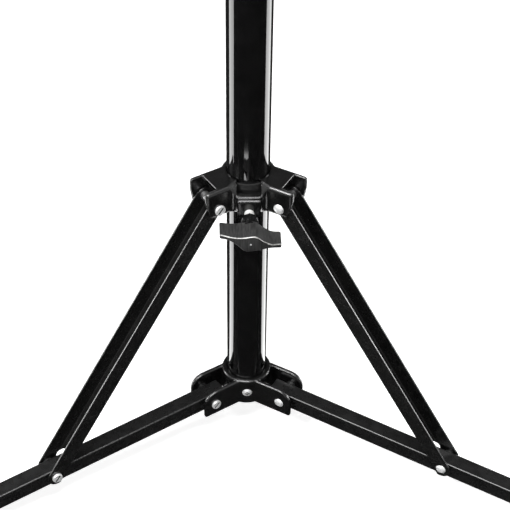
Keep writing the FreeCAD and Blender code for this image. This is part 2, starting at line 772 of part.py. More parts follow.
def gearbox_housing():
    low = column_top - socket_length
    chamber_top = column_top + chamber_height
    body = post(housing_radius, low, chamber_top)
    case = block(-chamber_half_width, chamber_half_width, 0, chamber_back, column_top, chamber_top)
    corners = [e for e in case.Edges if lengthways(e, Y_AXIS)]
    body = body.fuse(case.makeFillet(4.0, corners))
    body = body.fuse(post(neck_radius, chamber_top - 1, neck_top))
    lock_boss = rod(9.5, vec(0, 0, lock_z), vec(0, -mid_boss_face, lock_z))
    body = body.fuse(lock_boss).removeSplitter()
    rims = [e for e in body.Edges if isinstance(e.Curve, Part.Circle)
            and (abs(e.CenterOfMass.z - neck_top) < 0.1 or abs(e.CenterOfMass.z - low) < 0.1
                 or abs(e.CenterOfMass.y + mid_boss_face) < 0.1)]
    body = body.makeFillet(1.5, rims)
    body = body.cut(post(base_radius + seat_gap, low - 1, column_top))
    body = body.cut(post(base_radius - 1.0, column_top - 1, chamber_top + 4))
    body = body.cut(post(mid_radius + neck_bush_wall + seat_gap, chamber_top, neck_top + 1))
    room = pitch_radius + tooth_addendum + 2.5
    body = body.cut(block(-cavity_half_width, cavity_half_width, 0, chamber_back + 1,
                          pinion_z - room, pinion_z + room))
    bush = shaft_radius + shaft_bush_wall + seat_gap
    body = body.cut(rod(bush, vec(-chamber_half_width - 1, pinion_y, pinion_z),
                        vec(chamber_half_width + 1, pinion_y, pinion_z)))
    body = body.cut(rod(knob_screw_radius + screw_fit, vec(0, 0, lock_z), vec(0, -mid_boss_face - 1, lock_z)))
    for x, z in cover_screw_places():
        body = body.cut(rod(cover_screw_radius + screw_fit, vec(x, chamber_back - 11, z),
                            vec(x, chamber_back + 1, z)))
    for azimuth in housing_screw_azimuths:
        hole = rod(hub_screw_radius + screw_fit, vec(0, 0, 0), vec(housing_radius + 5, 0, 0))
        flat = rod(head_radius + 0.4, vec(housing_radius - 0.6, 0, 0), vec(housing_radius + 4, 0, 0))
        body = body.cut(to_azimuth(shifted(hole.fuse(flat), 0, 0, housing_screw_z), azimuth))
    return body


def gearbox_cover():
    half = chamber_half_width
    high = chamber_height / 2
    back = chamber_back + cover_thickness
    plate = block(-half, half, chamber_back, back, pinion_z - high, pinion_z + high)
    plate = plate.makeFillet(4.0, [e for e in plate.Edges if lengthways(e, Y_AXIS)])
    plate = plate.makeFillet(1.2, [e for e in plate.Edges if e.BoundBox.YMin > back - 0.01])
    raised = rod(10.0, vec(0, back - 1, pinion_z), vec(0, back + 2.5, pinion_z))
    raised = raised.makeFillet(1.5, [e for e in raised.Edges if e.CenterOfMass.y > back + 2])
    plate = plate.fuse(raised)
    for x, z in cover_screw_places():
        hole = rod(cover_screw_radius + screw_fit, vec(x, chamber_back - 1, z), vec(x, back + 1, z))
        plate = plate.cut(hole)
    return plate


def cover_screws():
    screws = []
    for x, z in cover_screw_places():
        screw = cross_head(3.6, 2.0)
        screw = screw.fuse(rod(cover_screw_radius, vec(0, -cover_thickness - 9.5, 0), ORIGIN))
        screws.append(shifted(screw, x, chamber_back + cover_thickness, z))
    return screws


def neck_bush():
    outer = mid_radius + neck_bush_wall
    low = column_top + chamber_height + 4.0
    bush = pipe(outer, mid_radius + running_fit, low, neck_top)
    flange = pipe(outer + 2.5, mid_radius + running_fit, neck_top, neck_top + 2.0)
    bush = bush.fuse(flange).cut(rack_slot(low - 1, neck_top + 3))
    return bush.cut(rod(knob_screw_radius + 0.3, vec(0, 0, lock_z), vec(0, -outer - 1, lock_z)))


def shaft_bushes():
    bushes = []
    outer = shaft_radius + shaft_bush_wall
    for side in (1, -1):
        inside = side * (cavity_half_width + 0.5)
        face = side * chamber_half_width
        bush = rod(outer, vec(inside, 0, 0), vec(face, 0, 0))
        bush = bush.fuse(rod(outer + 2, vec(face, 0, 0), vec(face + side * bush_flange, 0, 0)))
        bush = bush.cut(rod(shaft_radius + running_fit, vec(-50, 0, 0), vec(50, 0, 0)))
        bushes.append(shifted(bush, 0, pinion_y, pinion_z))
    return bushes


# ---- Crank
arm_inside = chamber_half_width + arm_stand_off
arm_outside = arm_inside + arm_thickness


def crank_shaft():
    left = -chamber_half_width - bush_flange - side_gap
    shaft = rod(shaft_radius, vec(left, 0, 0), vec(arm_outside + 6, 0, 0))
    shaft = shaft.fuse(rod(shaft_radius + 2.5, vec(left - 2.5, 0, 0), vec(left, 0, 0)))
    right = chamber_half_width + bush_flange + side_gap
    shaft = shaft.fuse(rod(shaft_radius + 2.5, vec(right, 0, 0), vec(arm_inside, 0, 0)))
    return shifted(shaft, 0, pinion_y, pinion_z)


def crank_arm():
    """A flat arm that hangs from the shaft and narrows towards the grip."""
    hub = rod(arm_hub_radius, vec(arm_inside, 0, 0), vec(arm_outside, 0, 0))
    tip = rod(arm_tip_radius, vec(arm_inside, 0, -arm_length), vec(arm_outside, 0, -arm_length))
    wide = arm_hub_radius - 1.5
    narrow = arm_tip_radius - 0.8
    bar = prism([
        vec(arm_inside, -wide, 0),
        vec(arm_inside, wide, 0),
        vec(arm_inside, narrow, -arm_length),
        vec(arm_inside, -narrow, -arm_length),
    ], vec(arm_thickness, 0, 0))
    arm = hub.fuse(tip).fuse(bar).removeSplitter()
    rims = [e for e in arm.Edges if e.BoundBox.XLength < 0.01]
    arm = arm.makeFillet(1.4, rims)
    arm = arm.cut(rod(shaft_radius + 0.02, vec(0, 0, 0), vec(arm_outside + 1, 0, 0)))
    arm = arm.cut(rod(grip_pin_radius + 0.02, vec(0, 0, -arm_length), vec(arm_outside + 1, 0, -arm_length)))
    return shifted(arm, 0, pinion_y, pinion_z)


def crank_nut():
    """A six-sided cap nut on the shaft's end."""
    corners = [radians(60 * i) for i in range(6)]
    size = shaft_radius + 3.0
    nut = prism([vec(arm_outside, size * cos(a), size * sin(a)) for a in corners], vec(5.0, 0, 0))
    cap = about(domed_head(shaft_radius + 1.5, 4.5), Z_AXIS, -90)
    nut = nut.fuse(shifted(cap, arm_outside + 5.0, 0, 0))
    nut = nut.cut(rod(shaft_radius + 0.02, vec(0, 0, 0), vec(arm_outside + 6.02, 0, 0)))
    return shifted(nut, 0, pinion_y, pinion_z)


def grip_pin():
    end = arm_outside + grip_length + 2 * side_gap
    pin = rod(grip_pin_radius, vec(arm_inside, 0, 0), vec(end, 0, 0))
    head = about(domed_head(grip_pin_radius + 2.5, 2.5), Z_AXIS, -90)
    pin = pin.fuse(shifted(head, end, 0, 0))
    return shifted(pin, 0, pinion_y, pinion_z - arm_length)


def crank_grip():
    """A round grip that spins on its pin, fuller in the middle than at the ends."""
    start = arm_outside + side_gap
    end = start + grip_length
    middle = (start + end) / 2
    curve = Part.BSplineCurve()
    curve.interpolate([
        vec(start, 0, grip_radius - 3.5),
        vec(start + 3, 0, grip_radius - 1.0),
        vec(middle, 0, grip_radius),
        vec(end - 6, 0, grip_radius - 1.2),
        vec(end, 0, grip_radius - 4.5),
    ])
    inside = grip_pin_radius + running_fit
    edges = [
        curve.toShape(),
        Part.makeLine(vec(end, 0, grip_radius - 4.5), vec(end, 0, inside)),
        Part.makeLine(vec(end, 0, inside), vec(start, 0, inside)),
        Part.makeLine(vec(start, 0, inside), vec(start, 0, grip_radius - 3.5)),
    ]
    grip = Part.Face(Part.Wire(edges)).revolve(ORIGIN, X_AXIS, 360)
    return shifted(grip, 0, pinion_y, pinion_z - arm_length)


# ---- Middle column
def mid_column():
    column = pipe(mid_radius, mid_radius - mid_wall, mid_bottom, mid_top)
    way = rod(knob_screw_radius + 0.3, vec(0, 0, mid_clamp_z), vec(0, -mid_radius - 1, mid_clamp_z))
    return column.cut(way)


def mid_guide():
    outer = base_radius - base_wall - running_fit
    return pipe(outer, mid_radius + seat_gap, mid_bottom, mid_bottom + guide_length)


def mid_collar():
    low = mid_top - mid_collar_height
    high = mid_top + mid_collar_cap
    body = post(mid_collar_radius, low, high)
    boss = rod(9.5, vec(0, 0, mid_clamp_z), vec(0, -mid_boss_face, mid_clamp_z))
    body = body.fuse(boss).removeSplitter()
    rims = [e for e in body.Edges if isinstance(e.Curve, Part.Circle)
            and (abs(e.CenterOfMass.z - low) < 0.1 or abs(e.CenterOfMass.z - high) < 0.1
                 or abs(e.CenterOfMass.y + mid_boss_face) < 0.1)]
    body = body.makeFillet(2.0, rims)
    body = body.cut(post(mid_radius + seat_gap, low - 1, mid_top))
    body = body.cut(post(top_radius + 0.6, mid_top - 1, high + 1))
    return body.cut(rod(knob_screw_radius + screw_fit, vec(0, 0, mid_clamp_z),
                        vec(0, -mid_boss_face - 1, mid_clamp_z)))


def mid_bush():
    outer = mid_radius - mid_wall - seat_gap
    bush = pipe(outer, top_radius + running_fit, mid_top - 30.0, mid_top - seat_gap)
    return bush.cut(rod(knob_screw_radius + 0.3, vec(0, 0, mid_clamp_z), vec(0, -outer - 1, mid_clamp_z)))


# ---- Top column and spigot
def top_column():
    return pipe(top_radius, top_radius - top_wall, top_bottom, top_top)


def top_guide():
    outer = mid_radius - mid_wall - running_fit
    return pipe(outer, top_radius + seat_gap, top_bottom, top_bottom + guide_length)


def spigot():
    """A turned spigot with a neck groove, on a flange and a plug that fills the top tube."""
    plug = top_radius - top_wall - seat_gap
    flange_top = top_top + spigot_flange_height
    end = flange_top + spigot_length
    middle = flange_top + spigot_length / 2
    body = turned([
        (0, top_top - 26.0),
        (plug, top_top - 26.0),
        (plug, top_top),
        (spigot_flange_radius, top_top),
        (spigot_flange_radius, flange_top - 1.0),
        (spigot_flange_radius - 1.0, flange_top),
        (spigot_radius, flange_top),
        (spigot_radius, middle - 4.0),
        (spigot_radius - spigot_groove, middle - 3.0),
        (spigot_radius - spigot_groove, middle + 3.0),
        (spigot_radius, middle + 4.0),
        (spigot_radius, end - 1.0),
        (spigot_radius - 1.0, end),
        (0, end),
    ])
    return body.cut(post(stud_tail_radius + 0.02, end - 14.0, end + 1))


def spigot_stud():
    end = top_top + spigot_flange_height + spigot_length
    return turned([
        (0, end - 13.9),
        (stud_tail_radius, end - 13.9),
        (stud_tail_radius, end + seat_gap),
        (stud_radius, end + seat_gap),
        (stud_radius, end + stud_length - 1.0),
        (stud_radius - 1.0, end + stud_length),
        (0, end + stud_length),
    ])


# ---- Every piece, written once to its own file
os.makedirs("parts", exist_ok=True)

save("base_column", base_column())
save("column_end_cap", column_end_cap())
save("base_hub", base_hub())
column_screws = radial_screws(hub_screw_azimuths(), hub_z + hub_screw_rise, hub_screw_seat,
                              base_radius - base_wall)
column_screws += radial_screws(housing_screw_azimuths, housing_screw_z, housing_radius - 0.6,
                               base_radius - base_wall)
save("column_screws", *column_screws)

hub_outside = hub_ear_gap / 2 + hub_ear_thickness
hub_bolts = []
hub_nuts = []
collar_bolts = []
collar_nuts = []
for azimuth in leg_azimuths:
    bolt, nut = pivot_pair(0, hub_outside, vec(hub_pivot_radius, 0, hub_z))
    hub_bolts.append(to_azimuth(bolt, azimuth))
    hub_nuts.append(to_azimuth(nut, azimuth))
    middle = vec(collar_pivot_radius, 0, collar_z)
    bolt, nut = pivot_pair(collar_ear_gap / 2, collar_half_width, middle)
    collar_bolts.append(to_azimuth(bolt, azimuth))
    collar_nuts.append(to_azimuth(nut, azimuth))
save("hub_pivot_bolts", *hub_bolts)
save("hub_pivot_nuts", *hub_nuts)
save("collar_pivot_bolts", *collar_bolts)
save("collar_pivot_nuts", *collar_nuts)
save("spider_collar", spider_collar())
save("spider_sleeve", spider_sleeve())
save_knob("spider", boss_face, clamp_z, base_radius + sleeve_wall + side_gap)

tube = leg_tube()
foot = leg_foot()
joint_washer_end = strut_width / 2 - strut_wall - side_gap
washers = pin_rings(washer_radius, leg_width / 2, joint_washer_end, strut_joint_reach)
washers += pin_rings(washer_radius, leg_width / 2, hub_ear_gap / 2 - side_gap, 0)
joint_outside = strut_width / 2 + side_gap
joint = pivot_pair(0, joint_outside, ORIGIN)
joint = [on_leg(shifted(s, strut_joint_reach, 0, 0)) for s in joint]
channel = strut_channel()
bush = strut_bush()
for number, azimuth in enumerate(leg_azimuths, start=1):
    save(f"leg_{number}_tube", to_azimuth(tube, azimuth))
    save(f"leg_{number}_foot", to_azimuth(foot, azimuth))
    save(f"leg_{number}_washers", *[to_azimuth(w, azimuth) for w in washers])
    save(f"leg_{number}_joint_bolt", to_azimuth(joint[0], azimuth))
    save(f"leg_{number}_joint_nut", to_azimuth(joint[1], azimuth))
    save(f"strut_{number}_channel", to_azimuth(channel, azimuth))
    save(f"strut_{number}_bush", to_azimuth(bush, azimuth))

save("gearbox_housing", gearbox_housing())
save("gearbox_cover", gearbox_cover())
save("cover_screws", *cover_screws())
save("neck_bush", neck_bush())
save("shaft_bushes", *shaft_bushes())
save_knob("lock", mid_boss_face, lock_z, mid_radius + side_gap)
save("crank_shaft", crank_shaft())
save("drive_pinion", drive_pinion())
save("crank_arm", crank_arm())
save("crank_nut", crank_nut())
save("grip_pin", grip_pin())
save("crank_grip", crank_grip())

save("mid_column", mid_column())
save("column_rack", column_rack())
save("mid_guide", mid_guide())
save("mid_collar", mid_collar())
save("mid_bush", mid_bush())
save_knob("mid", mid_boss_face, mid_clamp_z, top_radius + side_gap)
save("top_column", top_column())
save("top_guide", top_guide())
save("spigot", spigot())
save("spigot_stud", spigot_stud())
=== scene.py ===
"""Looks of a crank lighting stand: gloss black tubes, semi-gloss black castings, dark grey
hand knobs and pale zinc fasteners, in metres and in the part's own frame.
"""
import math

import bmesh
import bpy
from mathutils import Matrix, Vector


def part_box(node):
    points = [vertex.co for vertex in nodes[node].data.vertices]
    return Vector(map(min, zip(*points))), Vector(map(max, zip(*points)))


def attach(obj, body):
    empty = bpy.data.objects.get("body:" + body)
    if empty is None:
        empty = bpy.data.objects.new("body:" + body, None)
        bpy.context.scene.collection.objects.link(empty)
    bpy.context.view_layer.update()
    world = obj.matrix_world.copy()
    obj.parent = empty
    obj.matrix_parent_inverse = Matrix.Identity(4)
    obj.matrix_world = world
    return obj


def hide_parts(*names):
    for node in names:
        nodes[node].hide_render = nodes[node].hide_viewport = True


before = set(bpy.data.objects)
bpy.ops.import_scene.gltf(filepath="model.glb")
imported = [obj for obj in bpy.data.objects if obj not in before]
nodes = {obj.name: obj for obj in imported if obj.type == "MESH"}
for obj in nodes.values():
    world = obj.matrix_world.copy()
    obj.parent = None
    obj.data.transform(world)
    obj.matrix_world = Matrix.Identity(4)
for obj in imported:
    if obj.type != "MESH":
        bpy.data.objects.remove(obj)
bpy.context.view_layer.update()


# ---- Column tubes
# Three drawn aluminium tubes, polished and lacquered gloss black. The lower one stands in the
# hub and the others slide up out of it. Faint drawing lines run along them under the lacquer.
def new_material(name):
    material = bpy.data.materials.new(name)
    material.use_nodes = True
    shader = material.node_tree.nodes["Principled BSDF"]
    return material, material.node_tree, shader


def object_pattern(tree, stretch=(1, 1, 1)):
    """Object coordinates, scaled along each axis."""
    coordinates = tree.nodes.new("ShaderNodeTexCoord")
    mapping = tree.nodes.new("ShaderNodeMapping")
    mapping.inputs["Scale"].default_value = stretch
    tree.links.new(coordinates.outputs["Object"], mapping.inputs["Vector"])
    return mapping.outputs["Vector"]


def noise(tree, vector, scale, detail=2.0):
    texture = tree.nodes.new("ShaderNodeTexNoise")
    texture.inputs["Scale"].default_value = scale
    texture.inputs["Detail"].default_value = detail
    tree.links.new(vector, texture.inputs["Vector"])
    return texture.outputs["Fac"]


def ramp(tree, factor, low, high, start, end):
    """Two colours between two stops of a factor."""
    node = tree.nodes.new("ShaderNodeValToRGB")
    node.color_ramp.elements[0].position = start
    node.color_ramp.elements[0].color = (*low, 1)
    node.color_ramp.elements[1].position = end
    node.color_ramp.elements[1].color = (*high, 1)
    tree.links.new(factor, node.inputs["Fac"])
    return node.outputs["Color"]


def level(tree, factor, low, high, start=0.3, end=0.7):
    """A number between two values, from a factor's range."""
    node = tree.nodes.new("ShaderNodeMapRange")
    node.inputs["From Min"].default_value = start
    node.inputs["From Max"].default_value = end
    node.inputs["To Min"].default_value = low
    node.inputs["To Max"].default_value = high
    tree.links.new(factor, node.inputs["Value"])
    return node.outputs["Result"]


def raised(tree, shader, factor, strength, distance, edge=0.0):
    """Fine relief. With an edge radius, sharp edges are also shaded as if they were rounded."""
    bump = tree.nodes.new("ShaderNodeBump")
    if edge:
        soft = tree.nodes.new("ShaderNodeBevel")
        soft.samples = 8
        soft.inputs["Radius"].default_value = edge
        tree.links.new(soft.outputs["Normal"], bump.inputs["Normal"])
    bump.inputs["Strength"].default_value = strength
    bump.inputs["Distance"].default_value = distance
    tree.links.new(factor, bump.inputs["Height"])
    tree.links.new(bump.outputs["Normal"], shader.inputs["Normal"])


def coat(tree, shader, shade, rough):
    """Joins a finish's colour and roughness to its shader."""
    tree.links.new(shade, shader.inputs["Base Color"])
    tree.links.new(rough, shader.inputs["Roughness"])


def gloss_black():
    material, tree, shader = new_material("gloss_black_tube")
    even = object_pattern(tree)
    drawn = object_pattern(tree, (900, 900, 12))
    shade = ramp(tree, noise(tree, even, 60), (0.003, 0.003, 0.0032), (0.006, 0.006, 0.0062), 0.35, 0.7)
    rough = level(tree, noise(tree, even, 25, 6), 0.045, 0.09)
    coat(tree, shader, shade, rough)
    raised(tree, shader, noise(tree, drawn, 1.0), strength=0.04, distance=0.0002)
    return material


def dress(material, *names):
    for name in names:
        nodes[name].data.materials.clear()
        nodes[name].data.materials.append(material)


tube_black = gloss_black()
dress(tube_black, "base_column", "mid_column", "top_column")


# ---- Legs
# Square aluminium tubes in black enamel, less polished than the column and unevenly dulled from
# being folded and carried. Each is bolted between a pair of the hub's ears.
def leg_black():
    material, tree, shader = new_material("satin_black_leg")
    even = object_pattern(tree)
    shade = ramp(tree, noise(tree, even, 45, 5), (0.006, 0.006, 0.006), (0.013, 0.013, 0.013), 0.35, 0.75)
    rough = level(tree, noise(tree, even, 120, 6), 0.22, 0.34)
    coat(tree, shader, shade, rough)
    raised(tree, shader, noise(tree, even, 700, 3), strength=0.05, distance=0.0002, edge=0.0016)
    return material


dress(leg_black(), "leg_1_tube", "leg_2_tube", "leg_3_tube")


# ---- Struts
# Channels pressed from thin sheet, open side up, and sprayed black. The paint rounds their cut
# edges a little, so these catch the light as fine lines down both sides.
def channel_black():
    material, tree, shader = new_material("black_channel_paint")
    even = object_pattern(tree)
    shade = ramp(tree, noise(tree, even, 70, 4), (0.006, 0.006, 0.006), (0.012, 0.012, 0.0115), 0.35, 0.75)
    rough = level(tree, noise(tree, even, 150, 5), 0.2, 0.3)
    coat(tree, shader, shade, rough)
    raised(tree, shader, noise(tree, even, 600, 2), strength=0.06, distance=0.0002, edge=0.001)
    return material


dress(channel_black(), "strut_1_channel", "strut_2_channel", "strut_3_channel")


# ---- Castings
# The hub, the sliding collar, the gearbox and the upper collar: die-cast aluminium, tumbled so
# that every edge is soft, and stove enamelled in a smooth semi-gloss black.
def cast_black():
    material, tree, shader = new_material("enamel_black_casting")
    even = object_pattern(tree)
    shade = ramp(tree, noise(tree, even, 50), (0.005, 0.005, 0.005), (0.008, 0.008, 0.0082), 0.35, 0.7)
    rough = level(tree, noise(tree, even, 35, 3), 0.18, 0.24)
    coat(tree, shader, shade, rough)
    raised(tree, shader, noise(tree, even, 220, 2), strength=0.03, distance=0.0002, edge=0.0034)
    return material


dress(cast_black(), "base_hub", "spider_collar", "gearbox_housing", "gearbox_cover", "mid_collar")


# ---- Plastic liners, bushes and spacers
# Injection-moulded black nylon: the liner inside the sliding collar, the guides of the two
# moving columns, the end cap and the spacers beside the legs.
def nylon_black():
    material, tree, shader = new_material("black_nylon")
    even = object_pattern(tree)
    shade = ramp(tree, noise(tree, even, 80), (0.022, 0.022, 0.022), (0.034, 0.034, 0.034), 0.35, 0.7)
    rough = level(tree, noise(tree, even, 30, 4), 0.12, 0.2)
    coat(tree, shader, shade, rough)
    raised(tree, shader, noise(tree, even, 400, 2), strength=0.03, distance=0.0002)
    return material


dress(nylon_black(), "column_end_cap", "spider_sleeve", "neck_bush", "mid_guide", "mid_bush", "top_guide",
      "leg_1_washers", "leg_2_washers", "leg_3_washers")


# ---- Bright fasteners
# Bolts, slotted nuts, cross-head screws and the knobs' screws: steel, turned or cold headed and
# zinc plated to a pale matt white. Each is screwed in. Its slots and other recesses are darkened
# with painted shade, from an ambient occlusion mask.
def zinc_white():
    material, tree, shader = new_material("bright_zinc")
    even = object_pattern(tree)
    shade = ramp(tree, noise(tree, even, 500, 4), (0.78, 0.79, 0.8), (0.93, 0.93, 0.92), 0.3, 0.7)
    # Painted shade: ambient occlusion darkens the zinc's colour in slots and recesses.
    open_air = tree.nodes.new("ShaderNodeAmbientOcclusion")
    open_air.only_local = True
    open_air.inputs["Distance"].default_value = 0.002
    painted_slot_shade = ramp(tree, open_air.outputs["AO"], (0.01, 0.01, 0.01), (1, 1, 1), 0.6, 0.9)
    blend = tree.nodes.new("ShaderNodeMix")
    blend.data_type = "RGBA"
    blend.blend_type = "MULTIPLY"
    blend.inputs["Factor"].default_value = 1
    tree.links.new(shade, blend.inputs["A"])
    tree.links.new(painted_slot_shade, blend.inputs["B"])
    rough = level(tree, noise(tree, even, 900, 3), 0.36, 0.5)
    coat(tree, shader, blend.outputs["Result"], rough)
    shader.inputs["Metallic"].default_value = 0.35
    raised(tree, shader, noise(tree, even, 1500, 2), strength=0.06, distance=0.0002)
    return material


dress(zinc_white(), "column_screws", "hub_pivot_bolts", "hub_pivot_nuts", "collar_pivot_bolts",
      "collar_pivot_nuts", "cover_screws", "spider_knob_screw", "mid_knob_screw", "lock_knob_screw",
      "crank_nut", "grip_pin", "leg_1_joint_bolt", "leg_1_joint_nut", "leg_2_joint_bolt",
      "leg_2_joint_nut", "leg_3_joint_bolt", "leg_3_joint_nut")


# ---- Knob spacers
# Short sleeves of white nylon, a little rough from being turned. Each sits loose on a clamp
# screw, between the boss and the knob.
def nylon_white():
    material, tree, shader = new_material("white_nylon")
    even = object_pattern(tree)
    shade = ramp(tree, noise(tree, even, 300, 3), (0.8, 0.8, 0.78), (0.88, 0.88, 0.86), 0.3, 0.7)
    rough = level(tree, noise(tree, even, 400), 0.35, 0.45)
    coat(tree, shader, shade, rough)
    return material


dress(nylon_white(), "spider_knob_washer", "mid_knob_washer", "lock_knob_washer")


# ---- Rack, pinion, shaft, spigot and strut bushes
# Steel cut on a mill or lathe and left bare, with fine tool marks round the turned faces. The
# bushes in the struts' upper ends are lengths of pipe, bare in the same way.
def steel_cut():
    material, tree, shader = new_material("machined_steel")
    marks = object_pattern(tree, (60, 60, 2600))
    even = object_pattern(tree)
    shade = ramp(tree, noise(tree, even, 200, 4), (0.15, 0.15, 0.155), (0.24, 0.24, 0.24), 0.3, 0.7)
    rough = level(tree, noise(tree, even, 250, 4), 0.36, 0.46)
    coat(tree, shader, shade, rough)
    shader.inputs["Metallic"].default_value = 0.9
    raised(tree, shader, noise(tree, marks, 1.0), strength=0.08, distance=0.0002)
    return material


dress(steel_cut(), "column_rack", "drive_pinion", "crank_shaft", "spigot", "spigot_stud",
      "strut_1_bush", "strut_2_bush", "strut_3_bush")


# ---- Crankshaft bushes
# Sintered bronze, dull brown and oily. They are pressed into the gearbox, and the crankshaft
# turns in them.
def bronze_oily():
    material, tree, shader = new_material("sintered_bronze")
    even = object_pattern(tree)
    shade = ramp(tree, noise(tree, even, 600, 5), (0.3, 0.19, 0.08), (0.45, 0.3, 0.14), 0.35, 0.7)
    rough = level(tree, noise(tree, even, 900, 4), 0.35, 0.5)
    coat(tree, shader, shade, rough)
    shader.inputs["Metallic"].default_value = 0.85
    raised(tree, shader, noise(tree, even, 2500, 2), strength=0.15, distance=0.0002)
    return material


dress(bronze_oily(), "shaft_bushes")


# ---- Crank arm
# Flat steel bar, sprayed black, with a fine orange-peel texture. A nut holds it on the end of
# the crankshaft.
def crank_paint():
    material, tree, shader = new_material("crank_black")
    even = object_pattern(tree)
    shade = ramp(tree, noise(tree, even, 60, 4), (0.008, 0.008, 0.008), (0.014, 0.014, 0.014), 0.35, 0.7)
    rough = level(tree, noise(tree, even, 90, 4), 0.24, 0.34)
    coat(tree, shader, shade, rough)
    raised(tree, shader, noise(tree, even, 700, 2), strength=0.12, distance=0.0002)
    return material


dress(crank_paint(), "crank_arm")


# ---- Crank grip
# A round hand grip, moulded in dark grey plastic with a fine grain. It spins on the pin that
# stands in the end of the crank arm.
def grip_grey():
    material, tree, shader = new_material("grip_plastic")
    even = object_pattern(tree)
    shade = ramp(tree, noise(tree, even, 120, 5), (0.028, 0.028, 0.028), (0.042, 0.042, 0.042), 0.35, 0.7)
    rough = level(tree, noise(tree, even, 300, 4), 0.38, 0.52)
    coat(tree, shader, shade, rough)
    raised(tree, shader, noise(tree, even, 1800, 2), strength=0.2, distance=0.0002)
    return material


dress(grip_grey(), "crank_grip")


# ---- Feet
# Caps of black rubber, matt and a little dusty. They are moulded, and pushed over the ends of
# the legs.
def rubber_black():
    material, tree, shader = new_material("foot_rubber")
    even = object_pattern(tree)
    shade = ramp(tree, noise(tree, even, 90, 6), (0.012, 0.012, 0.012), (0.028, 0.027, 0.026), 0.4, 0.75)
    rough = level(tree, noise(tree, even, 200, 4), 0.6, 0.8)
    coat(tree, shader, shade, rough)
    raised(tree, shader, noise(tree, even, 900, 3), strength=0.25, distance=0.0003)
    return material


dress(rubber_black(), "leg_1_foot", "leg_2_foot", "leg_3_foot")


# ---- Clamp knobs
# Each knob is one moulding: an S-shaped hand blade, with a painted highlight in pale grey along
# its front upper edge, on a ribbed glossy neck. It is moulded onto its screw, whose end shows as
# a dot in the blade's face.
def knob_grey():
    material, tree, shader = new_material("knob_plastic")
    even = object_pattern(tree)
    streaks = object_pattern(tree, (900, 120, 60))
    grain = noise(tree, streaks, 1.0, 4)
    shade = ramp(tree, grain, (0.02, 0.02, 0.02), (0.05, 0.05, 0.049), 0.35, 0.7)
    rough = level(tree, grain, 0.36, 0.5)
    coat(tree, shader, shade, rough)
    shader.inputs["Specular IOR Level"].default_value = 0.2
    raised(tree, shader, noise(tree, even, 1500, 2), strength=0.12, distance=0.0002)
    return material


def neck_black():
    material, tree, shader = new_material("knob_neck_gloss")
    even = object_pattern(tree)
    shade = ramp(tree, noise(tree, even, 200), (0.005, 0.005, 0.005), (0.009, 0.009, 0.009), 0.35, 0.7)
    rough = level(tree, noise(tree, even, 60), 0.1, 0.16)
    coat(tree, shader, shade, rough)
    return material


# Painted highlight: a pale grey for the blade's rounded front upper edge, where the light catches it.
def highlight_edge_grey():
    material, tree, shader = new_material("knob_painted_highlight_edge")
    even = object_pattern(tree)
    patches = noise(tree, even, 90, 4)
    shade = ramp(tree, patches, (0.2, 0.2, 0.19), (0.6, 0.6, 0.58), 0.35, 0.6)
    rough = level(tree, patches, 0.2, 0.35)
    coat(tree, shader, shade, rough)
    return material


def blade_height(share):
    """Height of the blade's upper outline, as a share of the full rise.

    It is a smooth curve through a few heights, at places from -1 to 1 of the half span.
    """
    places = [-1.0, -0.58, -0.2, 0.17, 0.42, 0.7, 1.0]
    heights = [1.0, 0.8, 0.92, 1.0, 0.28, -0.3, -0.4]
    i = sum(share > place for place in places[1:-1])
    run = places[i + 1] - places[i]
    t = (share - places[i]) / run
    slopes = []
    for k in (i, i + 1):
        before = max(k - 1, 0)
        after = min(k + 1, len(places) - 1)
        slopes.append((heights[after] - heights[before]) / (places[after] - places[before]))
    return ((2 * t ** 3 - 3 * t ** 2 + 1) * heights[i] + (t ** 3 - 2 * t ** 2 + t) * run * slopes[0]
            + (3 * t ** 2 - 2 * t ** 3) * heights[i + 1] + (t ** 3 - t ** 2) * run * slopes[1])


def hand_blade(work, span, front, back, middle):
    """The S-shaped blade: a front face between two outlines, extruded back and rounded."""
    steps = 36
    rise = 0.008
    sweep = 0.0045
    flat_share = 0.3
    corner_angle = 0.9
    edge_round = 0.0013
    tops = []
    bottoms = []
    for i in range(steps + 1):
        share = 2 * i / steps - 1
        x = share * span
        y = front + sweep * max(abs(share) - flat_share, 0) / (1 - flat_share)
        tops.append(work.verts.new((x, y, middle + blade_height(share) * rise)))
        bottoms.append(work.verts.new((x, y, middle - blade_height(-share) * rise)))
    for i in range(steps):
        work.faces.new((tops[i], tops[i + 1], bottoms[i + 1], bottoms[i]))
    extruded = bmesh.ops.extrude_face_region(work, geom=work.faces[:])
    for item in extruded["geom"]:
        if isinstance(item, bmesh.types.BMVert):
            item.co.y = back
    bmesh.ops.recalc_face_normals(work, faces=work.faces[:])
    sharp = [e for e in work.edges if len(e.link_faces) == 2 and e.calc_face_angle() > corner_angle]
    rounds = bmesh.ops.bevel(work, geom=sharp, offset=edge_round, offset_type="OFFSET", segments=4,
                             profile=0.5, affect="EDGES", material=-1, clamp_overlap=True)
    bmesh.ops.recalc_face_normals(work, faces=work.faces[:])
    for item in work.faces:
        item.smooth = True
    return rounds["faces"]


def ribbed_neck(work, start, end, middle):
    """The tapered neck with eight narrow ribs, from its rounded outer end into the blade."""
    around = 128
    half_ribs = 4
    rib_height = 0.0008
    rib_sharpness = 8
    root_below = 0.0002
    profile = [(start, 0.0066), (start - 0.0004, 0.0071), (start - 0.001, 0.0074), (end, 0.009)]
    neck = []
    loops = []
    for y, radius in profile:
        ring = []
        for k in range(around):
            turn = 2 * math.pi * k / around
            rib = math.cos(half_ribs * turn) ** 2
            reach = radius + rib_height * rib ** rib_sharpness - root_below
            ring.append(work.verts.new((math.sin(turn) * reach, y, middle + math.cos(turn) * reach)))
        loops.append([work.edges.new((ring[k], ring[(k + 1) % around])) for k in range(around)])
        if y == start:
            neck.append(work.faces.new(ring))
    for outer, inner in zip(loops, loops[1:]):
        wall = bmesh.ops.bridge_loops(work, edges=outer + inner)["faces"]
        for item in wall:
            item.smooth = True
        neck += wall
    bmesh.ops.recalc_face_normals(work, faces=work.faces[:])
    return neck


